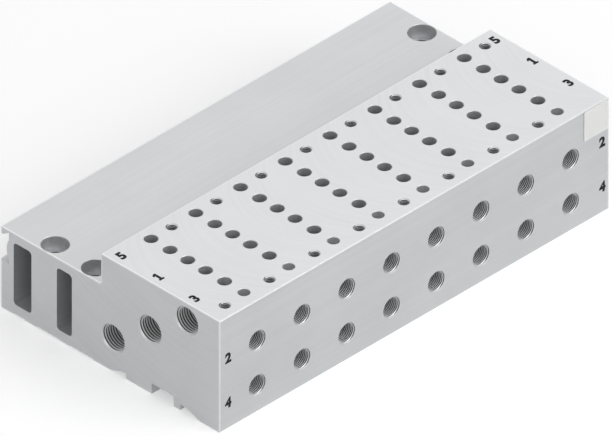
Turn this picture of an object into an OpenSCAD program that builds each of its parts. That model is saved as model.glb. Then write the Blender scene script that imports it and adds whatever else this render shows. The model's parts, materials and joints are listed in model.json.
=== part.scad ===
// Sub-base manifold block for a row of five-port pneumatic valves.
// It is one length of extruded aluminium profile, drilled and tapped from four sides.
// X runs along the row of stations, the working ports open towards -Y and the valves stand on top.
// The origin is the middle of the base. A depth is measured back from the front face, and a height
// up from the base.

/* [Stations] */
// Number of valve stations in the row
station_count = 8; // [2:1:12]
// Distance between neighbouring stations
station_pitch = 26; // [20:0.5:40]
// Distance from each end face to the nearest station
end_margin = 22; // [18:0.5:40]

/* [Profile] */
// Depth of the whole profile, front to back
profile_depth = 127; // [126:0.5:150]
// Height of the raised valve side
raised_height = 56; // [55:0.5:70]
// Depth of the raised valve side
raised_depth = 68.8; // [67:0.1:71]
// Height of the mounting flange behind it
flange_height = 40.8; // [39:0.1:48]
// Radius of the profile's outer edges
edge_radius = 0.4; // [0.2:0.1:1]
// Radius of the profile's inner corners
fillet_radius = 0.6; // [0.2:0.1:1]

/* [Flange channels] */
// Thickness of metal under the two through channels
channel_floor = 5.3; // [3:0.1:10]
// Thickness of metal over the two through channels
channel_roof = 4.6; // [3:0.1:10]
// Width of the front channel, between the two rows of mounting holes
front_channel_width = 8.7; // [5:0.1:9.4]
// Width of the rear channel
rear_channel_width = 10.3; // [5:0.1:11]
// Width of the web between the channels, which carries the rear row of mounting holes
channel_web = 14.7; // [13:0.1:15.5]
// Corner radius of the channels
channel_corner = 1.8; // [0.5:0.1:2.4]

/* [Mounting holes] */
// Distance from each end face to the mounting holes
mounting_end_distance = 6.5; // [6.3:0.1:16]
// Depth of the front row of mounting holes
mounting_row = 78.5; // [78:0.1:79]
// Distance between the two rows of mounting holes
mounting_row_gap = 23.5; // [22.5:0.1:24.5]
// Clearance hole for the mounting screw
mounting_hole = 6.6; // [5.5:0.1:9]
// Diameter of the counterbore for the screw's head
counterbore = 12; // [10:0.1:12.5]
// Depth of the counterbore
counterbore_depth = 6; // [3:0.1:10]

/* [Clip groove in the back] */
// Distance from the flange's top down to the middle of the groove's mouth
clip_drop = 9.65; // [9.2:0.05:14]
// Height of the groove's mouth
clip_mouth = 12.5; // [8:0.1:13]
// Thickness of the lips beside the mouth
clip_lip = 1.3; // [0.8:0.1:2]
// Depth of the groove behind the back face
clip_depth = 4.5; // [3:0.1:5.2]
// How far the groove rises behind its upper lip
clip_upper_hook = 2.1; // [0.5:0.1:2.2]
// How far the groove drops behind its lower lip
clip_lower_hook = 1.1; // [0.5:0.1:2.2]
// Height of the rounded rib on the groove's inner wall
clip_rib = 1.3; // [0.5:0.1:1.5]
// Radius of that rib
clip_rib_radius = 10; // [8:0.5:14]

/* [Rail grooves in the base] */
// Depth at which the front hook groove starts to rise
front_hook_start = 11.2; // [8:0.1:14]
// Depth of the front hook groove's upright wall
front_hook_wall = 23.1; // [22:0.1:24.5]
// Height of the front hook groove
front_hook_height = 3; // [2:0.1:4]
// Length of the front hook groove's level ceiling
front_hook_ceiling = 3.4; // [2:0.1:5]
// Depth of the clamp slot's front wall
clamp_slot_start = 26.7; // [26:0.1:28]
// Width of the clamp slot
clamp_slot_width = 12.8; // [8:0.1:14]
// Height of the clamp slot
clamp_slot_height = 5.3; // [3:0.1:6]
// Depth of the rear hook groove's upright wall
rear_hook_wall = 54.4; // [50:0.1:56]
// Length of the rear hook groove's ramp
rear_hook_ramp = 9.4; // [6:0.1:12]
// Height of the rear hook groove
rear_hook_height = 3.1; // [2:0.1:4]
// How far each hook groove's ramp bows out from a straight line
ramp_bow = 0.35; // [0.1:0.05:0.6]

/* [Reliefs in the base] */
// Depths at which the shallow reliefs under the flange start
relief_starts = [71.7, 91.7, 111.2]; // [71:0.1:112]
// Widths of those reliefs
relief_widths = [17.4, 16.6, 10.1]; // [8:0.1:17.5]
// How far the reliefs stand back from the base
relief_height = 0.7; // [0.3:0.1:1.5]
// Length of the ramp at each side of a relief
relief_ramp = 2.8; // [1:0.1:3.5]

/* [Galleries] */
// Depth of the supply gallery, port 1
supply_depth = 40.5; // [40.2:0.1:41]
// Height of the supply gallery
supply_height = 31.9; // [31.5:0.1:32.2]
// Distance of the exhaust galleries 3 and 5 in front of and behind the supply gallery
exhaust_offset = 21.35; // [21:0.05:21.8]
// How far exhaust 3 lies above the supply gallery, and exhaust 5 below it
exhaust_rise = 15.1; // [14.8:0.1:15.4]
// Diameter of the three galleries
gallery_bore = 10.5; // [8:0.1:10.8]

/* [End ports, G1/4 thread] */
// Diameter of the tapping bore
end_port_bore = 11.445; // [11.2:0.005:11.6]
// Outer diameter of the thread
end_port_thread = 13.157; // [12.8:0.001:13.4]
// Depth of the tapping bore
end_port_depth = 13; // [10:0.5:14]

/* [Working ports, G1/8 thread] */
// Distance of the working passages 2 and 4 in front of and behind the supply gallery
working_offset = 10.3; // [10.1:0.05:10.6]
// Height of the upper working port, port 2
port_2_height = 35.6; // [35.3:0.1:36.2]
// Height of the lower working port, port 4
port_4_height = 13.3; // [12:0.1:14.5]
// Diameter of the tapping bore
working_port_bore = 8.566; // [8.4:0.001:8.7]
// Outer diameter of the thread
working_port_thread = 9.728; // [9.5:0.001:10]
// Depth of the tapping bore
working_port_depth = 9; // [7:0.5:11]
// Diameter of the passage behind it
working_bore = 6.5; // [6.2:0.1:6.8]
// How far that passage runs past the valve port that it serves
working_overrun = 0.25; // [0.1:0.05:0.4]

/* [Valve side] */
// Diameter of the five valve ports of a station
valve_port = 6; // [4:0.1:6.1]
// Diameter of the blind locating hole in front of each station's ports
locating_hole = 5.2; // [3:0.1:6]
// Depth of that hole from the front face
locating_row = 7.9; // [6:0.1:9]
// How deep it is drilled
locating_hole_depth = 5; // [2:0.5:8]
// Distance along the block from a station to its two valve screws
screw_offset = 12; // [9:0.5:12]
// Depth of the front row of valve screws
screw_row = 7; // [5:0.1:8]
// Diameter of the tapping bore of the M5 valve screws
screw_bore = 4.2; // [4:0.05:4.5]
// Outer diameter of that thread
screw_thread = 5; // [4.6:0.1:5.5]
// Depth of the tapping bore
screw_depth = 12; // [8:0.5:12.5]

/* [Hole edges] */
// How much wider than its thread a tapped hole opens
countersink_margin = 0.3; // [0.1:0.05:0.5]
// Width of the broken edge on plain holes
broken_edge = 0.2; // [0.1:0.05:0.4]

/* [Marking label] */
// Width of the label
label_width = 14.1; // [8:0.1:16]
// Height of the label
label_height = 14.7; // [8:0.1:15]
// Thickness of the label
label_thickness = 0.4; // [0.2:0.05:0.8]
// Corner radius of the label
label_corner = 0.8; // [0.3:0.1:2]

/* [Hidden] */
$fn = 96;
overcut = 1;
drill_point = 118;
block_length = (station_count - 1) * station_pitch + 2 * end_margin;
first_station = end_margin - block_length / 2;
stations = [for (i = [0 : station_count - 1]) first_station + i * station_pitch];
front = -profile_depth / 2;
exhaust_3 = [supply_depth - exhaust_offset, supply_height + exhaust_rise];
supply_1 = [supply_depth, supply_height];
exhaust_5 = [supply_depth + exhaust_offset, supply_height - exhaust_rise];
port_2 = [supply_depth - working_offset, port_2_height];
port_4 = [supply_depth + working_offset, port_4_height];
galleries = [exhaust_3, supply_1, exhaust_5];
working_ports = [port_2, port_4];

// Rectangle from the origin with rounded corners
module rounded_rectangle(size, radius) {
    translate([radius, 0]) square([size.x - 2 * radius, size.y]);
    translate([0, radius]) square([size.x, size.y - 2 * radius]);
    for (x = [radius, size.x - radius], y = [radius, size.y - radius]) {
        translate([x, y]) circle(radius);
    }
}

// Raised valve side and flange, with the fillet in the step between them
module outline() {
    rounded_rectangle([raised_depth, raised_height], edge_radius);
    translate([raised_depth / 2, 0]) {
        rounded_rectangle([profile_depth - raised_depth / 2, flange_height], edge_radius);
    }
    translate([raised_depth, flange_height]) {
        difference() {
            translate([-overcut, -overcut]) square(fillet_radius + overcut);
            translate([fillet_radius, fillet_radius]) circle(fillet_radius);
        }
    }
}

// Through channel in the flange, from its front wall
module channel(wall, width) {
    translate([wall, channel_floor]) {
        rounded_rectangle([width, flange_height - channel_floor - channel_roof], channel_corner);
    }
}

module channels() {
    rear_row = mounting_row + mounting_row_gap;
    channel(mounting_row + mounting_row_gap / 2 - front_channel_width / 2, front_channel_width);
    channel(rear_row + channel_web / 2, rear_channel_width);
}

// Undercut groove in the back face, with a rounded rib on its inner wall
module clip_groove() {
    translate([profile_depth, flange_height - clip_drop]) {
        difference() {
            polygon([
                [overcut, -clip_mouth / 2],
                [-clip_lip, -clip_mouth / 2],
                [-clip_depth, -clip_mouth / 2 - clip_lower_hook],
                [-clip_depth, clip_mouth / 2 + clip_upper_hook],
                [-clip_lip, clip_mouth / 2],
                [overcut, clip_mouth / 2],
            ]);
            translate([clip_rib - clip_depth - clip_rib_radius, 0]) circle(clip_rib_radius);
        }
    }
}

// Groove with one upright wall and a bowed ramp that falls away from it, with its wall at x = 0
module hook_groove(ceiling, ramp, height) {
    polygon([
        [0, -overcut],
        [0, height],
        [ceiling, height],
        [ceiling + ramp / 2, height / 2 + ramp_bow],
        [ceiling + ramp, 0],
        [ceiling + ramp, -overcut],
    ]);
}

// Grooves that grip the edges of a mounting rail, and the slot for its clamp
module rail_grooves() {
    front_ramp = front_hook_wall - front_hook_start - front_hook_ceiling;
    translate([front_hook_wall, 0]) {
        mirror([1, 0]) hook_groove(front_hook_ceiling, front_ramp, front_hook_height);
    }
    translate([clamp_slot_start, -clamp_slot_height]) {
        rounded_rectangle([clamp_slot_width, 2 * clamp_slot_height], edge_radius);
    }
    translate([rear_hook_wall, 0]) hook_groove(0, rear_hook_ramp, rear_hook_height);
}

// Shallow relief with a ramp at each side
module relief(start, width) {
    polygon([
        [start, -overcut],
        [start, 0],
        [start + relief_ramp, relief_height],
        [start + width - relief_ramp, relief_height],
        [start + width, 0],
        [start + width, -overcut],
    ]);
}

// Section of the extrusion, depth by height
module profile() {
    difference() {
        outline();
        channels();
        clip_groove();
        rail_grooves();
        for (i = [0 : len(relief_starts) - 1]) relief(relief_starts[i], relief_widths[i]);
    }
}

// Turned cut down from a face at z = 0, with the radius and the depth of each corner of its wall
module turned_cut(corners) {
    rotate_extrude() {
        polygon([[0, overcut], for (corner = corners) [corner.x, -corner.y]]);
    }
}

// Height of the cone that a drill of this diameter leaves at the bottom
function point_height(diameter) = diameter / 2 / tan(drill_point / 2);

// Drilled hole with a drill's point
module drilled_hole(diameter, depth) {
    turned_cut([
        [diameter / 2, -overcut],
        [diameter / 2, depth],
        [0, depth + point_height(diameter)],
    ]);
}

// Tapping hole whose conical mouth opens past the thread
module tapping_hole(bore, thread, depth) {
    mouth = thread + countersink_margin;
    turned_cut([
        [mouth / 2 + overcut, -overcut],
        [bore / 2, (mouth - bore) / 2],
        [bore / 2, depth],
        [0, depth + point_height(bore)],
    ]);
}

// Plain hole with a flat floor and a broken edge
module plain_hole(diameter, depth) {
    turned_cut([
        [diameter / 2 + broken_edge + overcut, -overcut],
        [diameter / 2, broken_edge],
        [diameter / 2, depth],
        [0, depth],
    ]);
}

// Gallery along the whole block, with a tapped port at each end
module gallery(place) {
    translate([0, front + place.x, place.y]) {
        rotate([0, 90, 0]) {
            cylinder(d = gallery_bore, h = block_length + 2 * overcut, center = true);
        }
        for (side = [-1, 1]) {
            translate([side * block_length / 2, 0, 0]) rotate([0, side * 90, 0]) {
                tapping_hole(end_port_bore, end_port_thread, end_port_depth);
            }
        }
    }
}

// Working port in the front face, with the passage that runs back to its valve port
module working_passage(place) {
    translate([0, front, place.y]) rotate([90, 0, 0]) {
        tapping_hole(working_port_bore, working_port_thread, working_port_depth);
        drilled_hole(working_bore, place.x + valve_port / 2 + working_overrun);
    }
}

// Everything that serves one valve
module station() {
    for (place = working_ports) working_passage(place);
    for (place = concat(galleries, working_ports)) {
        translate([0, front + place.x, raised_height]) {
            plain_hole(valve_port, raised_height - place.y);
        }
    }
    translate([0, front + locating_row, raised_height]) {
        plain_hole(locating_hole, locating_hole_depth);
    }
    for (screw = [[-screw_offset, screw_row], [screw_offset, exhaust_5.x]]) {
        translate([screw.x, front + screw.y, raised_height]) {
            tapping_hole(screw_bore, screw_thread, screw_depth);
        }
    }
}

// Counterbored hole through the flange for a mounting screw
module mounting_screw_hole() {
    plain_hole(counterbore, counterbore_depth);
    translate([0, 0, -flange_height - overcut]) {
        cylinder(d = mounting_hole, h = flange_height + overcut);
    }
}

module mounting_holes() {
    reach = block_length / 2 - mounting_end_distance;
    for (x = [-reach, reach], row = [mounting_row, mounting_row + mounting_row_gap]) {
        translate([x, front + row, flange_height]) mounting_screw_hole();
    }
}

module manifold_block() {
    color("gainsboro") difference() {
        rotate([90, 0, 90]) {
            linear_extrude(block_length, center = true) translate([front, 0]) profile();
        }
        for (place = galleries) gallery(place);
        for (x = stations) translate([x, 0, 0]) station();
        mounting_holes();
    }
}

// Thin plate stuck flat on the upper far corner of the front face, just inside the rounded edge
module marking_label() {
    color("whitesmoke") {
        translate([
            block_length / 2 - edge_radius - label_width,
            front,
            raised_height - edge_radius - label_height,
        ]) {
            rotate([90, 0, 0]) linear_extrude(label_thickness) {
                rounded_rectangle([label_width, label_height], label_corner);
            }
        }
    }
}

manifold_block();
marking_label();
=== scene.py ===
import json
import math
from contextlib import contextmanager

import bmesh
import bpy
import numpy as np
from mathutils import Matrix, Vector


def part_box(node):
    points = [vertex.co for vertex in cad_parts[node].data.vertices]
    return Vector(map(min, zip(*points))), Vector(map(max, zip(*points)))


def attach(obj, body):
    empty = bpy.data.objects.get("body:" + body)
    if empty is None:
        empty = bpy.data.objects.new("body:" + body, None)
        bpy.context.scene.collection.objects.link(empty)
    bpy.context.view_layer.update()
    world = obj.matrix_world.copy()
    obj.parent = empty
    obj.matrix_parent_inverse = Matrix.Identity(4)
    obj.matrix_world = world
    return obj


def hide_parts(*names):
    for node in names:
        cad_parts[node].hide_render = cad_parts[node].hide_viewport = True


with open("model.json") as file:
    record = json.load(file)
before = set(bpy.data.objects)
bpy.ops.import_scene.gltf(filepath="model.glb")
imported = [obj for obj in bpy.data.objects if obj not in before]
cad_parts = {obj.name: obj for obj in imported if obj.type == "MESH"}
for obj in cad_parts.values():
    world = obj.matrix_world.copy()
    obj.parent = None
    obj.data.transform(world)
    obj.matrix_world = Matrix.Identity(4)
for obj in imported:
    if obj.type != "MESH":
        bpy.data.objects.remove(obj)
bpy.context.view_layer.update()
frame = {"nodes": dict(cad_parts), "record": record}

# The block stands on Z = 0 with its row of valve stations along X. The working ports open towards -Y,
# valves would stand on top, and the label is at the end towards +X. Everything is in metres.
mm = 0.001
blockLow, blockHigh = (Vector(corner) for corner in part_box("manifold_block"))
mounts = frame["record"]["mounts"]
flangeTop = 40.8 * mm
stepBack = blockLow.y + 68.8 * mm  # rear wall of the raised valve side
print("frame loaded:", len(mounts), "mounts")


class Wire:
    # an output of a node, so that sums of patterns read as plain Python
    def __init__(self, tree, socket=None):
        self.tree = tree
        self.socket = socket

    def node(self, kind, settings=None, sockets=None, out=0):
        made = self.tree.nodes.new(kind)
        for name, value in (settings or {}).items():
            setattr(made, name, value)
        for name, value in (sockets or {}).items():
            self.feed(pickSocket(made.inputs, name), value)
        return Wire(self.tree, pickSocket(made.outputs, out))

    def feed(self, socket, value):
        if isinstance(value, Wire):
            self.tree.links.new(value.socket, socket)
        else:
            socket.default_value = value

    def maths(self, operation, *others):
        return self.node("ShaderNodeMath", {"operation": operation}, dict(enumerate((self, *others))))

    def __add__(self, other):
        return self.maths("ADD", other)

    def __sub__(self, other):
        return self.maths("SUBTRACT", other)

    def __rsub__(self, other):
        return self * -1 + other

    def __mul__(self, other):
        return self.maths("MULTIPLY", other)

    def __truediv__(self, other):
        return self.maths("DIVIDE", other)

    def __rtruediv__(self, other):
        return self.maths("POWER", -1) * other

    __radd__ = __add__
    __rmul__ = __mul__


def pickSocket(sockets, name):
    # by its number, or by its name among the sockets that the node's settings leave in use
    if isinstance(name, int):
        return sockets[name]
    return next(socket for socket in sockets if socket.name == name and socket.enabled)


# major is the diameter at the roots, which are a share of the pitch wide; flank is in degrees, and bright
# is the share of a flank that is clean, without painted shade or residue
threads = {
    "endPort": {
        "pitch": 1.337 * mm, "major": 13.157 * mm, "depth": 11.2 * mm,
        "flank": 27.5, "root": 0.167, "bright": 0.30, "sides": 34,
    },
    "workingPort": {
        "pitch": 0.907 * mm, "major": 9.728 * mm, "depth": 7.6 * mm,
        "flank": 27.5, "root": 0.167, "bright": 0.25, "sides": 28,
    },
    "valveScrew": {
        "pitch": 0.8 * mm, "major": 5.0 * mm, "depth": 7.2 * mm,
        "flank": 30.0, "root": 0.125, "bright": 0.05, "sides": 22,
    },
}
screwSpread = 24 * mm  # along the block, between the two screws of a valve
# a hole is counted to a station from a little before it, so that rounding can't send it to the last one
stations = {"first": -91 * mm, "pitch": 26 * mm, "slack": 0.5 * mm}


def threadOf(mount):
    name = mount["name"]
    if mount["kind"] == "threaded_hole":
        return "endPort"
    if name.startswith("working_ports"):
        return "workingPort"
    return "valveScrew" if name.startswith("valve_screws") else None


def axisNumber(direction):
    # of X, Y and Z, the one that it runs along
    return max(range(3), key=lambda number: abs(direction[number]))


def holeAxes(mount):
    # a point on the axis of each hole that a mount states
    middle = Vector(mount["pos_m"])
    sizes = mount["dims"]
    if "pcd_mm" in sizes:
        reach = sizes["pcd_mm"] * mm / 2
        offset = Vector((screwSpread / 2, math.sqrt(reach ** 2 - (screwSpread / 2) ** 2), 0))
        return [middle - offset, middle + offset]
    across = Vector((0, 0, 1)) if mount["axis"][1] else Vector((0, 1, 0))
    along = sizes.get("spacing_x_mm", 0) * mm / 2
    apart = sizes.get("spacing_y_mm", 0) * mm / 2
    places = []
    for x in (-along, along) if along else (0,):
        for y in (-apart, apart) if apart else (0,):
            places.append(middle + Vector((x, 0, 0)) + across * y)
    return places


def mouthOf(point, outward):
    # where an axis leaves the block
    axis = axisNumber(outward)
    mouth = Vector(point)
    mouth[axis] = blockHigh[axis] if outward[axis] > 0 else blockLow[axis]
    return mouth


def boreRadius(kind):
    sizes = next(mount["dims"] for mount in mounts if threadOf(mount) == kind)
    return sizes.get("r_mm", sizes.get("hole_r_mm")) * mm


def threadSpots(mouths, axis):
    # places across the holes' axis, one for all the stations that repeat it
    spots = set()
    start = stations["first"] - stations["slack"]
    for mouth, _ in mouths:
        atFirst = start + (mouth.x - start) % stations["pitch"]
        spot = {"X": (mouth.y, mouth.z), "Y": (atFirst, mouth.z), "Z": (atFirst, mouth.y)}[axis]
        spots.add(tuple(round(number, 6) for number in spot))  # to a thousandth of a millimetre
    return sorted(spots)


def threadMouths(kind):
    # the mouth of each hole with such a thread, and the way that it opens
    found = []
    for mount in mounts:
        if threadOf(mount) == kind:
            found += [(mouthOf(point, mount["axis"]), mount["axis"]) for point in holeAxes(mount)]
    return found


def startFinish(name, metallic=0.0):
    # a new finish, its shader, and a wire that measures places on the piece in millimetres
    material = bpy.data.materials.new(name)
    material.use_nodes = True
    tree = material.node_tree
    shader = tree.nodes["Principled BSDF"]
    shader.inputs["Metallic"].default_value = metallic
    place = Wire(tree).node("ShaderNodeTexCoord", out="Object")
    place = place.node("ShaderNodeVectorMath", {"operation": "SCALE"}, {"Vector": place, "Scale": 1 / mm})
    return material, shader, place


def axesOf(place):
    return [place.node("ShaderNodeSeparateXYZ", None, {"Vector": place}, out=axis) for axis in "XYZ"]


def noiseAt(place, x, y, z, detail=2, roughness=0.5):
    where = place.node("ShaderNodeCombineXYZ", None, {"X": x, "Y": y, "Z": z})
    sockets = {"Vector": where, "Scale": 1.0, "Detail": detail, "Roughness": roughness}
    return place.node("ShaderNodeTexNoise", None, sockets, out="Fac")


def blend(place, factor, first, second):
    # from the first colour to the second; each is three numbers or a wire
    ends = {"A": first, "B": second}
    sockets = {name: end if isinstance(end, Wire) else (*end, 1) for name, end in ends.items()}
    return place.node("ShaderNodeMix", {"data_type": "RGBA"}, {"Factor": factor, **sockets}, out="Result")


def finishWith(place, shader, color, roughness, height, depth):
    # the patterns as color and roughness, and height as a bump of the given depth
    place.feed(shader.inputs["Base Color"], color)
    place.feed(shader.inputs["Roughness"], roughness)
    sockets = {"Height": height, "Strength": 1.0, "Distance": depth}
    place.feed(shader.inputs["Normal"], place.node("ShaderNodeBump", None, sockets))


# sizes here are in millimetres, and scales are per millimetre
anodising = {
    "light": (0.690, 0.697, 0.706),
    "dark": (0.450, 0.460, 0.474),
    "marksInColor": 0.7,
    "cloudInColor": 0.3,
    "roughness": 0.30,
    "marksInRoughness": 0.14,
    "grainInRoughness": 0.08,
    "cloudInRoughness": 0.06,
    "metallic": 0.65,
    "threadMetallic": 0.30,
    "cloudScale": 0.03,
    "grainScale": 7,
    "grainDepth": 0.0015,
    "rootShadeAndResidue": (0.032, 0.033, 0.035),  # painted shade in the roots of the threads, together with the residue that gathers there
    "rootShadeRise": 3,  # how steeply the painted shade and residue come in below the clean part of the flank
    "wearAndHighlight": (0.840, 0.845, 0.850),  # painted highlight along the outer edges, and the polish that handling gives them
    "wearAndHighlightWidth": 0.8,
    "wearAndHighlightScale": 0.6,
    "wearAndHighlightUneven": 0.9,
    "wearAndHighlightLeast": 0.35,
    "rubbedSmoother": 0.08,
    "stepMargin": 1.2,  # how many of its widths the lighter edge band stays from the inside corner of the step
}
# what each tool leaves: scales of its fine and broad lines across and along them, the share of the fine
# ones, and the depth and paleness of all
marks = {
    "die": {
        "fine": 3.2, "broad": 0.5, "fineAlong": 0.012, "broadAlong": 0.004, "fineShare": 0.65,
        "depth": 0.006, "tone": -0.08,
    },
    "mill": {
        "fine": 2.4, "broad": 0.35, "fineAlong": 0.02, "broadAlong": 0.01, "fineShare": 0.6,
        "depth": 0.005, "tone": 0.25, "radius": 46.0, "row": 34.4,
    },
    "saw": {
        "fine": 3.0, "broad": 0.6, "fineAlong": 0.02, "broadAlong": 0.01, "fineShare": 0.6,
        "depth": 0.008, "tone": 0.0, "middleY": -60.0, "middleZ": 190.0,
    },
    "drill": {"fine": 5, "fineAlong": 0.3, "depth": 0.006, "tone": 0.0},
    "tap": {"fine": 5, "fineAlong": 0.3, "depth": 0.004, "tone": 0.5},
}


def smallest(first, *others):
    for other in others:
        first = first.maths("MINIMUM", other)
    return first


def fromZeroToOne(value):
    return value.maths("MAXIMUM", 0.0).maths("MINIMUM", 1.0)


def ringsAlong(place, axis, tool):
    # rings around the axis of a hole, uneven along their length
    x, y, z = axesOf(place)
    along = {"X": x, "Y": y, "Z": z}[axis]
    return noiseAt(place, along * tool["fine"], (x + y + z - along) * tool["fineAlong"], 0.0)


def wornAndHighlitEdges(place):
    # where the colour is lighter, for wear and as a painted highlight along the edges
    # 1 along the outer edges: a place on a face is no way from that face, and the middle one of its three
    # distances from the outer faces across X, Y and Z tells how near the next edge is
    x, y, z = axesOf(place)
    low, high, step, flange = blockLow / mm, blockHigh / mm, stepBack / mm, flangeTop / mm
    inner = anodising["wearAndHighlightWidth"] * anodising["stepMargin"]
    fromWall = (y - step).maths("ABSOLUTE").maths("MAXIMUM", flange + inner - z)
    fromFlange = (z - flange).maths("ABSOLUTE").maths("MAXIMUM", step + inner - y)
    acrossX = smallest(x - low.x, high.x - x)
    acrossY = smallest(y - low.y, high.y - y, fromWall)
    acrossZ = smallest(z - low.z, high.z - z, fromFlange)
    middle = acrossX.maths("MINIMUM", acrossY).maths(
        "MAXIMUM", acrossX.maths("MAXIMUM", acrossY).maths("MINIMUM", acrossZ))
    near = fromZeroToOne(1 - middle / anodising["wearAndHighlightWidth"])
    scale = anodising["wearAndHighlightScale"]
    uneven = noiseAt(place, x * scale, y * scale, z * scale, detail=3) * anodising["wearAndHighlightUneven"]
    return near * (uneven + anodising["wearAndHighlightLeast"])


def anodise(place, shader, lines, tool, rootShadeAndResidue=None, wearAndHighlight=None):
    # satin clear anodising over the lines that a tool left in the metal before its bath
    x, y, z = axesOf(place)
    broad, fine = anodising["cloudScale"], anodising["grainScale"]
    cloud = noiseAt(place, x * broad, y * broad, z * broad)
    grain = noiseAt(place, x * fine, y * fine, z * fine, roughness=0.6)
    pale = lines * anodising["marksInColor"] + cloud * anodising["cloudInColor"] + tool["tone"]
    color = blend(place, pale, anodising["dark"], anodising["light"])
    roughness = lines * anodising["marksInRoughness"] + grain * anodising["grainInRoughness"]
    roughness = roughness + cloud * anodising["cloudInRoughness"] + anodising["roughness"]
    # painted shade in the thread roots, together with the residue there
    if rootShadeAndResidue:
        color = blend(place, rootShadeAndResidue, color, anodising["rootShadeAndResidue"])
    # painted highlight along the outer edges, lighter and smoother, together with their wear
    if wearAndHighlight:
        color = blend(place, wearAndHighlight, color, anodising["wearAndHighlight"])
        roughness = roughness - wearAndHighlight * anodising["rubbedSmoother"]
    height = lines + grain * (anodising["grainDepth"] / tool["depth"])
    finishWith(place, shader, color, roughness, height, tool["depth"] * mm)


def mixedLines(fine, broad, tool):
    return fine * tool["fineShare"] + broad * (1 - tool["fineShare"])


def extrudedSkin():
    # lines that the die draws along the profile
    die = marks["die"]
    material, shader, place = startFinish("extruded skin", anodising["metallic"])
    x, y, z = axesOf(place)
    fine = noiseAt(place, x * die["fineAlong"], y * die["fine"], z * die["fine"], detail=4, roughness=0.65)
    broad = noiseAt(place, x * die["broadAlong"], y * die["broad"], z * die["broad"])
    anodise(place, shader, mixedLines(fine, broad, die), die, wearAndHighlight=wornAndHighlitEdges(place))
    return material


def sweptLines(place, sweep, across, tool):
    # lines of equal sweep, uneven along their length; the broad ones lie in another layer of the noise
    fine = noiseAt(place, sweep * tool["fine"], across * tool["fineAlong"], 0.0, detail=3, roughness=0.6)
    broad = noiseAt(place, sweep * tool["broad"], across * tool["broadAlong"], 7.0)
    return mixedLines(fine, broad, tool)


def milledTop():
    # the face mill ran along the row of stations, so its marks are arcs across the valve side
    mill = marks["mill"]
    material, shader, place = startFinish("milled top", anodising["metallic"])
    x, y, z = axesOf(place)
    across = y - (blockLow.y / mm + mill["row"])
    bulge = (mill["radius"] ** 2 - across * across).maths("MAXIMUM", 1.0).maths("SQRT")
    anodise(place, shader, sweptLines(place, x + bulge, across, mill), mill, wearAndHighlight=wornAndHighlitEdges(place))
    return material


def sawnEnd():
    # shallow arcs of the saw that cut the profile to length
    saw = marks["saw"]
    material, shader, place = startFinish("sawn end", anodising["metallic"])
    x, y, z = axesOf(place)
    across = y - saw["middleY"]
    rise = z - saw["middleZ"]
    away = (across * across + rise * rise).maths("SQRT")
    anodise(place, shader, sweptLines(place, away, across, saw), saw, wearAndHighlight=wornAndHighlitEdges(place))
    return material


def boredWall(axis):
    drill = marks["drill"]
    material, shader, place = startFinish(f"bored wall along {axis}", anodising["metallic"])
    anodise(place, shader, ringsAlong(place, axis, drill), drill)
    return material


def threadedWall(kind):
    # bright crests, and roots darkened by painted shade and residue, by the distance from the nearest
    # hole's axis
    tap = marks["tap"]
    material, shader, place = startFinish(f"{kind} thread", anodising["threadMetallic"])
    x, y, z = axesOf(place)
    mouths = threadMouths(kind)
    axis = "XYZ"[axisNumber(mouths[0][1])]
    plane = {"X": (y, z), "Y": (x, z), "Z": (x, y)}[axis]
    pitch = stations["pitch"] / mm
    reaches = []
    for spot in threadSpots(mouths, axis):
        first, second = (where - number / mm for where, number in zip(plane, spot))
        if axis != "X":  # the nearest station's hole
            first = (first + pitch / 2).maths("FLOORED_MODULO", pitch) - pitch / 2
        reaches.append((first * first + second * second).maths("SQRT"))
    bore = boreRadius(kind) / mm
    share = (smallest(*reaches) - bore) / (threads[kind]["major"] / mm / 2 - bore)
    # painted shade that deepens from the clean part of the flank to the root, together with the residue
    # there
    rootShadeAndResidue = fromZeroToOne((share - threads[kind]["bright"]) * anodising["rootShadeRise"])
    anodise(place, shader, ringsAlong(place, axis, tap), tap, rootShadeAndResidue=rootShadeAndResidue)
    return material


enamel = {
    "thin": (0.028, 0.029, 0.032),
    "full": (0.010, 0.011, 0.012),
    "gloss": 0.2,
    "roughness": 0.5,
    "unevenRoughness": 0.2,
    "scale": 2.5,
    "depth": 0.01 * mm,
}


def numeralPaint():
    # matt dark enamel wiped into the engraved port numbers
    material, shader, place = startFinish("numeral paint")
    shader.inputs["Specular IOR Level"].default_value = enamel["gloss"]
    x, y, z = axesOf(place)
    scale = enamel["scale"]
    wiped = noiseAt(place, x * scale, y * scale, z * scale, detail=3)
    color = blend(place, wiped, enamel["thin"], enamel["full"])
    roughness = wiped * enamel["unevenRoughness"] + enamel["roughness"]
    finishWith(place, shader, color, roughness, wiped, enamel["depth"])
    return material


finishes = {
    "skin": extrudedSkin(),
    "top": milledTop(),
    "end": sawnEnd(),
    "boreX": boredWall("X"),
    "boreY": boredWall("Y"),
    "boreZ": boredWall("Z"),
    "paint": numeralPaint(),
    **{kind: threadedWall(kind) for kind in threads},
}
print("finishes of the block made:", ", ".join(material.name for material in finishes.values()))


def newPiece(name, mesh):
    piece = bpy.data.objects.new(name, mesh)
    bpy.context.scene.collection.objects.link(piece)
    return piece


def plainMesh(piece):
    # what the piece's modifiers give
    graph = bpy.context.evaluated_depsgraph_get()
    return bpy.data.meshes.new_from_object(piece.evaluated_get(graph))


def applyTo(piece, kind, **settings):
    # adds one modifier and applies it at once
    modifier = piece.modifiers.new(kind.lower(), kind)
    for name, value in settings.items():
        setattr(modifier, name, value)
    mesh = plainMesh(piece)
    piece.modifiers.clear()
    piece.data = mesh


@contextmanager
def shaping(mesh, source=None):
    # the mesh, or what it is to be made from, opened for bmesh and then written to the mesh
    shape = bmesh.new()
    shape.from_mesh(source or mesh)
    yield shape
    shape.to_mesh(mesh)
    shape.free()


# in metres, how close points lie that are one, and how little faces turn that are one flat
tolerances = {"cadPoint": 1e-7, "cutterPoint": 1e-8, "flat": math.radians(0.3)}


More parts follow.
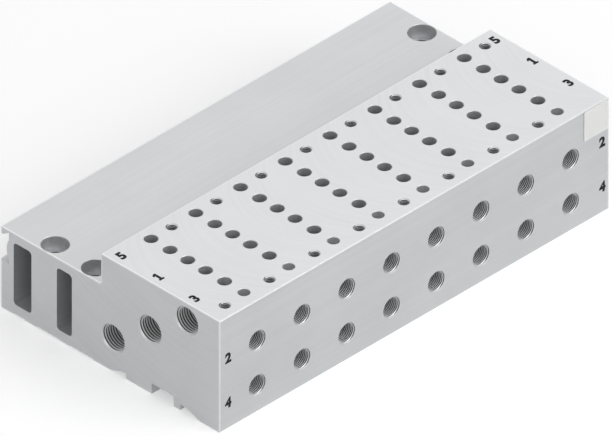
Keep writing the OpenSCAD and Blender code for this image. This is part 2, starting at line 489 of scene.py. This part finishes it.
def mergedCopy(name, node):
    # a CAD node's loose triangles joined into one closed mesh
    mesh = bpy.data.meshes.new(name)
    with shaping(mesh, frame["nodes"][node].data) as shape:
        bmesh.ops.remove_doubles(shape, verts=shape.verts, dist=tolerances["cadPoint"])
    return newPiece(name, mesh)


def joinFlats(shape):
    bmesh.ops.dissolve_limit(shape, angle_limit=tolerances["flat"], verts=shape.verts, edges=shape.edges)


def turnOutwards(mesh):
    with shaping(mesh) as shape:
        bmesh.ops.remove_doubles(shape, verts=shape.verts, dist=tolerances["cutterPoint"])
        bmesh.ops.recalc_face_normals(shape, faces=shape.faces)


# of a pitch, unless another unit is given
cutters = {
    "overlap": 0.1,  # how far inside the bore's wall a groove starts
    "runOut": 1.2,  # turns in which a groove reaches its full size
    "leastSize": 0.05,  # share of that size at its end
    "plainLonger": 1.7,
    "plainRaised": 0.3,
    "plainWider": 0.003 * mm,  # so that the flats clear the old wall
}


def threadTree():
    # at every point either a helical groove, from outside the mouth down to its run-out, or the plain bore
    # with as many sides, which the groove then meets corner on corner
    tree = bpy.data.node_groups.new("thread cutters", "GeometryNodeTree")
    tree.interface.new_socket("Mouths", in_out="INPUT", socket_type="NodeSocketGeometry")
    names = ("Bore radius", "Thread radius", "Pitch", "Depth", "Root width", "Flank slope",
             "Run-out turns")
    for name in names:
        tree.interface.new_socket(name, in_out="INPUT", socket_type="NodeSocketFloat")
    tree.interface.new_socket("Sides", in_out="INPUT", socket_type="NodeSocketInt")
    tree.interface.new_socket("Grooved", in_out="INPUT", socket_type="NodeSocketBool")
    tree.interface.new_socket("Finish", in_out="INPUT", socket_type="NodeSocketMaterial")
    tree.interface.new_socket("Cutters", in_out="OUTPUT", socket_type="NodeSocketGeometry")
    given = tree.nodes.new("NodeGroupInput")
    start = Wire(tree)
    bore, thread, pitch, depth, root, slope, runOut = (Wire(tree, given.outputs[name]) for name in names)
    sides = Wire(tree, given.outputs["Sides"])
    turns = depth / pitch + 1
    path = start.node("GeometryNodeCurveSpiral", None, {
        "Resolution": sides, "Rotations": turns,
        "Start Radius": bore, "End Radius": bore, "Height": depth + pitch,
    })
    path = start.node("GeometryNodeSetCurveNormal", {"mode": "Z_UP"}, {"Curve": path})
    # the section's X runs from the helix towards the axis
    inside = pitch * cutters["overlap"]
    cut = bore - thread
    rootHalf = root / 2
    mouthHalf = rootHalf + (inside - cut) * slope
    corners = [(inside, mouthHalf * -1), (cut, rootHalf * -1), (cut, rootHalf), (inside, mouthHalf)]
    section = start.node("GeometryNodeCurvePrimitiveQuadrilateral", {"mode": "POINTS"}, {
        f"Point {number}": start.node("ShaderNodeCombineXYZ", None, {"X": x, "Y": y})
        for number, (x, y) in enumerate(corners, 1)
    })
    share = start.node("GeometryNodeSplineParameter", out="Factor")
    size = (share * turns / runOut).maths("MAXIMUM", cutters["leastSize"]).maths("MINIMUM", 1.0)
    groove = start.node("GeometryNodeCurveToMesh", None, {
        "Curve": path, "Profile Curve": section, "Scale": size, "Fill Caps": True,
    })
    drop = start.node("ShaderNodeCombineXYZ", None, {"Z": depth * -1})
    groove = start.node("GeometryNodeTransform", None, {"Geometry": groove, "Translation": drop})
    corner = bore / (math.pi / sides).maths("COSINE") + cutters["plainWider"]
    plain = start.node("GeometryNodeMeshCylinder", None, {
        "Vertices": sides, "Radius": corner, "Depth": depth + pitch * cutters["plainLonger"],
    }, out="Mesh")
    middle = start.node("ShaderNodeCombineXYZ", None, {"Z": (pitch * cutters["plainRaised"] - depth) / 2})
    plain = start.node("GeometryNodeTransform", None, {"Geometry": plain, "Translation": middle})
    cutter = start.node("GeometryNodeSwitch", {"input_type": "GEOMETRY"}, {
        "Switch": Wire(tree, given.outputs["Grooved"]), "False": plain, "True": groove,
    })
    outward = start.node(
        "GeometryNodeInputNamedAttribute", {"data_type": "FLOAT_VECTOR"}, {"Name": "outward"})
    turned = start.node("FunctionNodeAlignRotationToVector", {"axis": "Z"}, {"Vector": outward})
    copies = start.node("GeometryNodeInstanceOnPoints", None, {
        "Points": Wire(tree, given.outputs["Mouths"]), "Instance": cutter, "Rotation": turned,
    })
    solid = start.node("GeometryNodeRealizeInstances", None, {"Geometry": copies})
    solid = start.node("GeometryNodeSetMaterial", None, {
        "Geometry": solid, "Material": Wire(tree, given.outputs["Finish"]),
    })
    leaving = tree.nodes.new("NodeGroupOutput")
    start.feed(leaving.inputs["Cutters"], solid)
    return tree


def threadCutters(tree, kind, grooved):
    size = threads[kind]
    mouths = threadMouths(kind)
    mesh = bpy.data.meshes.new(kind)
    mesh.from_pydata([mouth for mouth, _ in mouths], [], [])
    outward = mesh.attributes.new("outward", "FLOAT_VECTOR", "POINT")
    outward.data.foreach_set("vector", [number for _, axis in mouths for number in axis])
    values = {
        "Bore radius": boreRadius(kind), "Thread radius": size["major"] / 2, "Pitch": size["pitch"],
        "Depth": size["depth"], "Root width": size["root"] * size["pitch"],
        "Flank slope": math.tan(math.radians(size["flank"])), "Run-out turns": cutters["runOut"],
        "Sides": size["sides"], "Grooved": grooved, "Finish": finishes[kind],
    }
    cutter = newPiece(kind + "Cutters", mesh)
    modifier = cutter.modifiers.new("threads", "NODES")
    modifier.node_group = tree
    for socket in tree.interface.items_tree:
        if socket.in_out == "INPUT" and socket.name in values:
            modifier[socket.identifier] = values[socket.name]
    made = plainMesh(cutter)
    cutter.modifiers.clear()
    cutter.data = made
    turnOutwards(made)
    print(kind, "grooves:" if grooved else "bores:", len(mouths), "cutters,", len(made.polygons), "faces")
    return cutter


numerals = {
    "height": 5.3 * mm,
    "depth": 0.25 * mm,
    "boldness": 0.055,
    "curveSteps": 3,
    # outline of the digit one, with its flag and foot, on a height of 1
    "one": [(-0.27, -0.50), (0.27, -0.50), (0.27, -0.30), (0.13, -0.30), (0.13, 0.50), (-0.08, 0.50),
            (-0.29, 0.34), (-0.29, 0.12), (-0.13, 0.22), (-0.13, -0.30), (-0.27, -0.30)],
    # number, the way in to its middle from the near and from the far end, and its place along Y or Z
    "top": [("5", 4.7 * mm, 4.3 * mm, 61.9 * mm), ("1", 4.8 * mm, 3.9 * mm, 40.6 * mm),
            ("3", 4.5 * mm, 4.3 * mm, 19.1 * mm)],
    "front": [("2", 5.0 * mm, 3.8 * mm, 35.5 * mm), ("4", 5.0 * mm, 3.7 * mm, 12.9 * mm)],
}


def numeralMesh(number):
    # one digit, upright in the XY plane about its own middle, thick enough to cut its depth
    if number == "1":
        curve = bpy.data.curves.new("numeral", "CURVE")
        curve.dimensions = "2D"
        curve.fill_mode = "BOTH"
        outline = curve.splines.new("POLY")
        outline.points.add(len(numerals["one"]) - 1)
        for point, corner in zip(outline.points, numerals["one"]):
            point.co = (*corner, 0, 1)
        outline.use_cyclic_u = True
    else:
        curve = bpy.data.curves.new("numeral", "FONT")
        curve.body = number
        curve.offset = numerals["boldness"]
        curve.resolution_u = numerals["curveSteps"]
    curve.extrude = 1.0
    carrier = newPiece("numeral", curve)
    mesh = plainMesh(carrier)
    bpy.data.objects.remove(carrier)
    spots = np.array([vertex.co for vertex in mesh.vertices])
    low, high = spots.min(axis=0), spots.max(axis=0)
    scale = numerals["height"] / (high[1] - low[1])
    spots = (spots - (low + high) / 2) * [scale, scale, numerals["depth"]]
    mesh.vertices.foreach_set("co", spots.ravel())
    turnOutwards(mesh)
    return mesh


def addNumeral(shape, number, middle, up):
    # a digit that reads along X
    right, up = Vector((1, 0, 0)), Vector(up)
    out = right.cross(up)
    mesh = numeralMesh(number)
    for vertex in mesh.vertices:
        vertex.co = middle + right * vertex.co.x + up * vertex.co.y + out * vertex.co.z
    shape.from_mesh(mesh)
    bpy.data.meshes.remove(mesh)


def numeralCutters():
    mesh = bpy.data.meshes.new("numerals")
    with shaping(mesh) as shape:
        for number, near, far, depth in numerals["top"]:
            for x in (blockLow.x + near, blockHigh.x - far):
                addNumeral(shape, number, Vector((x, blockLow.y + depth, blockHigh.z)), (0, 1, 0))
        for number, near, far, height in numerals["front"]:
            for x in (blockLow.x + near, blockHigh.x - far):
                addNumeral(shape, number, Vector((x, blockLow.y, height)), (0, 0, 1))
    mesh.materials.append(finishes["paint"])
    print("port numbers:", len(mesh.polygons), "faces")
    return newPiece("numeralCutters", mesh)


edges = {
    "rounding": 0.2 * mm,
    "roundedFrom": math.radians(60),
    "onEnd": 0.001 * mm,
    "joined": 0.001 * mm,  # points that the cuts leave closer than this become one
    "sharp": math.radians(28),
    "flatSharp": math.radians(10),
    "flatArea": 100 * mm * mm,
}
zones = {
    "near": 0.01 * mm,  # from a face's middle to the plane that it lies in
    "square": 0.999,  # least part of a flat face's normal that is along one axis
    "wall": 0.9,  # most part of a wall's normal that is along Z
    "baseHigh": 6.2 * mm,  # the grooves and reliefs of the base lie below this
    "mountingFrom": 70 * mm,  # behind the front face, where mounting holes open in the base
    "around": 1.2,  # in millimetres, how far beyond its bore a hole's faces are looked for
    "aroundMounting": 2.8,  # this reaches the counterbore
}


def holeWalls(centres, normals):
    # the axis of the drilled hole that each face most likely belongs to, or -1
    found = np.full(len(centres), -1)
    best = np.full(len(centres), np.inf)
    for mount in mounts:
        sizes = mount["dims"]
        radius = sizes.get("r_mm", sizes.get("hole_r_mm"))
        if not radius:
            continue
        margin = zones["aroundMounting" if mount["name"] == "mounting_holes" else "around"]
        axis = axisNumber(mount["axis"])
        others = [number for number in range(3) if number != axis]
        for point in holeAxes(mount):
            away = centres[:, others] - np.array([point[number] for number in others])
            away = np.hypot(away[:, 0], away[:, 1]) / mm
            misfit = abs(away - radius) + abs(normals[:, axis])
            better = (away < radius + margin) & (misfit < best)
            found[better] = axis
            best[better] = misfit[better]
    return found


def giveZones(mesh):
    # each face gets the finish of the tool that made it
    for material in finishes.values():
        mesh.materials.append(material)
    numbers = {name: number for number, name in enumerate(finishes)}
    count = len(mesh.polygons)
    centres = np.empty(count * 3)
    normals = np.empty(count * 3)
    mesh.polygons.foreach_get("center", centres)
    mesh.polygons.foreach_get("normal", normals)
    centres = centres.reshape(-1, 3)
    normals = normals.reshape(-1, 3)
    zone = np.full(count, numbers["skin"])
    low = centres[:, 2] < zones["baseHigh"]
    outer = low.copy()
    sides = ((2, blockHigh.z, "top"), (0, blockLow.x, "end"), (0, blockHigh.x, "end"),
             (1, blockLow.y, "skin"), (1, blockHigh.y, "skin"), (2, flangeTop, "skin"))
    for axis, side, name in sides:
        flat = (abs(centres[:, axis] - side) < zones["near"]) & (abs(normals[:, axis]) > zones["square"])
        zone[flat] = numbers[name]
        outer |= flat
    behind = centres[:, 1] > blockLow.y + zones["mountingFrom"]
    mountingHole = behind & low & (abs(normals[:, 2]) < zones["wall"])
    holeAxis = np.where(~outer | mountingHole, holeWalls(centres, normals), -1)
    for axis, name in enumerate(("boreX", "boreY", "boreZ")):
        zone[holeAxis == axis] = numbers[name]
    mesh.polygons.foreach_set("material_index", zone.astype(np.int32))
    print("zones:", {name: int((zone == number).sum()) for name, number in numbers.items()})


def fromEnd(point):
    return min(abs(point.x - blockLow.x), abs(point.x - blockHigh.x))


def roundEnds(mesh):
    # the file's touch along the sawn edges
    rim = []
    with shaping(mesh) as shape:
        joinFlats(shape)
        for edge in shape.edges:
            atEnd = all(fromEnd(vertex.co) < edges["onEnd"] for vertex in edge.verts)
            if atEnd and edge.is_manifold and edge.calc_face_angle() > edges["roundedFrom"]:
                rim.append(edge)
        bmesh.ops.bevel(shape, geom=rim, offset=edges["rounding"], segments=2, profile=0.5,
                        affect="EDGES", clamp_overlap=True)
        bmesh.ops.triangulate(shape, faces=shape.faces)
    print("end edges rounded:", len(rim))


def markSharp(mesh):
    # smooth shading, broken at the real edges
    with shaping(mesh) as shape:
        bmesh.ops.remove_doubles(shape, verts=shape.verts, dist=edges["joined"])
        for face in shape.faces:
            face.smooth = True
        for edge in shape.edges:
            angle = edge.calc_face_angle(math.pi)
            flats = all(face.calc_area() > edges["flatArea"] for face in edge.link_faces)
            edge.smooth = angle < (edges["flatSharp"] if flats else edges["sharp"])
        bmesh.ops.triangulate(shape, faces=shape.faces, quad_method="BEAUTY", ngon_method="BEAUTY")


def cutBy(piece, cutter):
    # the fast solver leaves the piece as it was where a shape isn't quite closed; then the exact one cuts
    before = len(piece.data.polygons)
    for solver in ("MANIFOLD", "EXACT"):
        applyTo(piece, "BOOLEAN", operation="DIFFERENCE", solver=solver, material_mode="TRANSFER",
                object=cutter)
        if len(piece.data.polygons) != before:
            break
    print("cut", cutter.name, "with the", solver.lower(), "solver:", len(piece.data.polygons), "faces")
    bpy.data.objects.remove(cutter)


def manifoldBlock():
    block = mergedCopy("manifoldBlock", "manifold_block")
    roundEnds(block.data)
    giveZones(block.data)
    tree = threadTree()
    for kind in threads:
        for grooved in (False, True):
            cutBy(block, threadCutters(tree, kind, grooved))
    cutBy(block, numeralCutters())
    markSharp(block.data)
    applyTo(block, "WEIGHTED_NORMAL", mode="FACE_AREA", weight=90, keep_sharp=True)
    return block


film = {
    "clean": (0.860, 0.860, 0.846),
    "dull": (0.775, 0.777, 0.765),
    "wornInColor": 0.6,
    "fibreInColor": 0.4,
    "roughness": 0.38,
    "wornInRoughness": 0.1,
    "fibreInRoughness": 0.15,
    "fibreScale": 6,
    "wornScale": 0.25,
    "fibreDepth": 0.01 * mm,
    "rounding": 0.08 * mm,
    "roundedFrom": math.radians(60),
}


def labelFilm():
    # matt pale film with a fine grain, a little duller in patches
    material, shader, place = startFinish("label film")
    x, y, z = axesOf(place)
    fine, broad = film["fibreScale"], film["wornScale"]
    fibre = noiseAt(place, x * fine, y * fine, z * fine, detail=4, roughness=0.7)
    worn = noiseAt(place, x * broad, y * broad, z * broad, detail=3)
    dullness = worn * film["wornInColor"] + fibre * film["fibreInColor"]
    color = blend(place, dullness, film["clean"], film["dull"])
    roughness = fibre * film["fibreInRoughness"] + worn * film["wornInRoughness"] + film["roughness"]
    finishWith(place, shader, color, roughness, fibre, film["fibreDepth"])
    return material


def markingLabel():
    label = mergedCopy("markingLabel", "marking_label")
    with shaping(label.data) as shape:
        joinFlats(shape)
    applyTo(label, "BEVEL", width=film["rounding"], segments=2, limit_method="ANGLE",
            angle_limit=film["roundedFrom"])
    for face in label.data.polygons:
        face.use_smooth = True
    applyTo(label, "WEIGHTED_NORMAL", mode="FACE_AREA", weight=90)
    label.data.materials.clear()
    label.data.materials.append(labelFilm())
    return label


block = manifoldBlock()
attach(block, "root")
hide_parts("manifold_block")
label = markingLabel()
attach(label, "root")
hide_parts("marking_label")
print("pieces:", [(piece.name, len(piece.data.loop_triangles)) for piece in (block, label)])


studio = {
    "floorSize": 3.0,
    "floorLevel": -0.02 * mm,  # just clear of the base, which it would otherwise share a plane with
    "floorColor": (0.92, 0.92, 0.92),
    "floorRoughness": 0.9,
    "floorLift": 0.36,
    "worldLight": 0.36,
    "aim": Vector((0, 0, 30 * mm)),
}
# the direction that each comes from, its distance, width and watts
lamps = {
    "key": ((0.30, -1.30, 1.0), 1.3, 0.9, 6.4),
    "backTop": ((1.0, 1.0, 1.05), 1.3, 1.2, 2.2),
    "sideFill": ((-1.0, -0.7, 0.8), 1.4, 0.9, 3.2),
}


def seenRays(start):
    # 1 for the rays that show the surroundings themselves, also in metal and through glass
    kinds = ("Is Camera Ray", "Is Glossy Ray", "Is Transmission Ray")
    camera, glossy, through = (start.node("ShaderNodeLightPath", out=kind) for kind in kinds)
    return camera.maths("MAXIMUM", glossy).maths("MAXIMUM", through)


def plainFloor():
    half, level = studio["floorSize"] / 2, studio["floorLevel"]
    corners = [(-half, -half, level), (half, -half, level), (half, half, level), (-half, half, level)]
    mesh = bpy.data.meshes.new("floor")
    mesh.from_pydata(corners, [], [(0, 1, 2, 3)])
    floor = newPiece("floor", mesh)
    material, shader, place = startFinish("floor")
    shader.inputs["Base Color"].default_value = (*studio["floorColor"], 1)
    shader.inputs["Roughness"].default_value = studio["floorRoughness"]
    shader.inputs["Emission Strength"].default_value = 1
    lift = (studio["floorLift"],) * 3
    place.feed(shader.inputs["Emission Color"], blend(place, seenRays(place), (0, 0, 0), lift))
    mesh.materials.append(material)


def studioLamps():
    for name, (direction, distance, width, watts) in lamps.items():
        data = bpy.data.lights.new(name, "AREA")
        data.shape = "SQUARE"
        data.size = width
        data.energy = watts
        lamp = bpy.data.objects.new(name, data)
        bpy.context.scene.collection.objects.link(lamp)
        direction = Vector(direction).normalized()
        lamp.location = studio["aim"] + direction * distance
        lamp.rotation_euler = direction.to_track_quat("Z", "Y").to_euler()


def paleWorld():
    # light for the object, and plain white wherever the camera or the metal sees past the floor
    world = bpy.data.worlds.new("studio")
    world.use_nodes = True
    tree = world.node_tree
    start = Wire(tree)
    strength = seenRays(start) * (1 - studio["worldLight"]) + studio["worldLight"]
    background = tree.nodes["Background"]
    background.inputs["Color"].default_value = (1, 1, 1, 1)
    start.feed(background.inputs["Strength"], strength)
    bpy.context.scene.world = world


view = {
    # an isometric drawing: the sight line runs equally along all three axes
    "right": Vector((1, -1, 0)).normalized(),
    "up": Vector((1, 1, 2)).normalized(),
    "ahead": Vector((1, 1, -1)).normalized(),
    "width": 251.35 * mm,
    # middle of the picture, from the near upper front corner of the block
    "middleRight": 35.47 * mm,
    "middleUp": 42.69 * mm,
    "distance": 1.2,
    "sightEnd": 10,
}


def isometricCamera():
    data = bpy.data.cameras.new("isometric")
    data.type = "ORTHO"
    data.ortho_scale = view["width"]
    data.clip_end = view["sightEnd"]
    camera = bpy.data.objects.new("isometric", data)
    bpy.context.scene.collection.objects.link(camera)
    corner = Vector((blockLow.x, blockLow.y, blockHigh.z))
    middle = corner + view["right"] * view["middleRight"] + view["up"] * view["middleUp"]
    camera.location = middle - view["ahead"] * view["distance"]
    camera.rotation_euler = (-view["ahead"]).to_track_quat("Z", "Y").to_euler()
    bpy.context.scene.camera = camera


plainFloor()
studioLamps()
paleWorld()
isometricCamera()
bpy.context.scene.view_settings.view_transform = "Standard"
print("floor, light and camera placed")
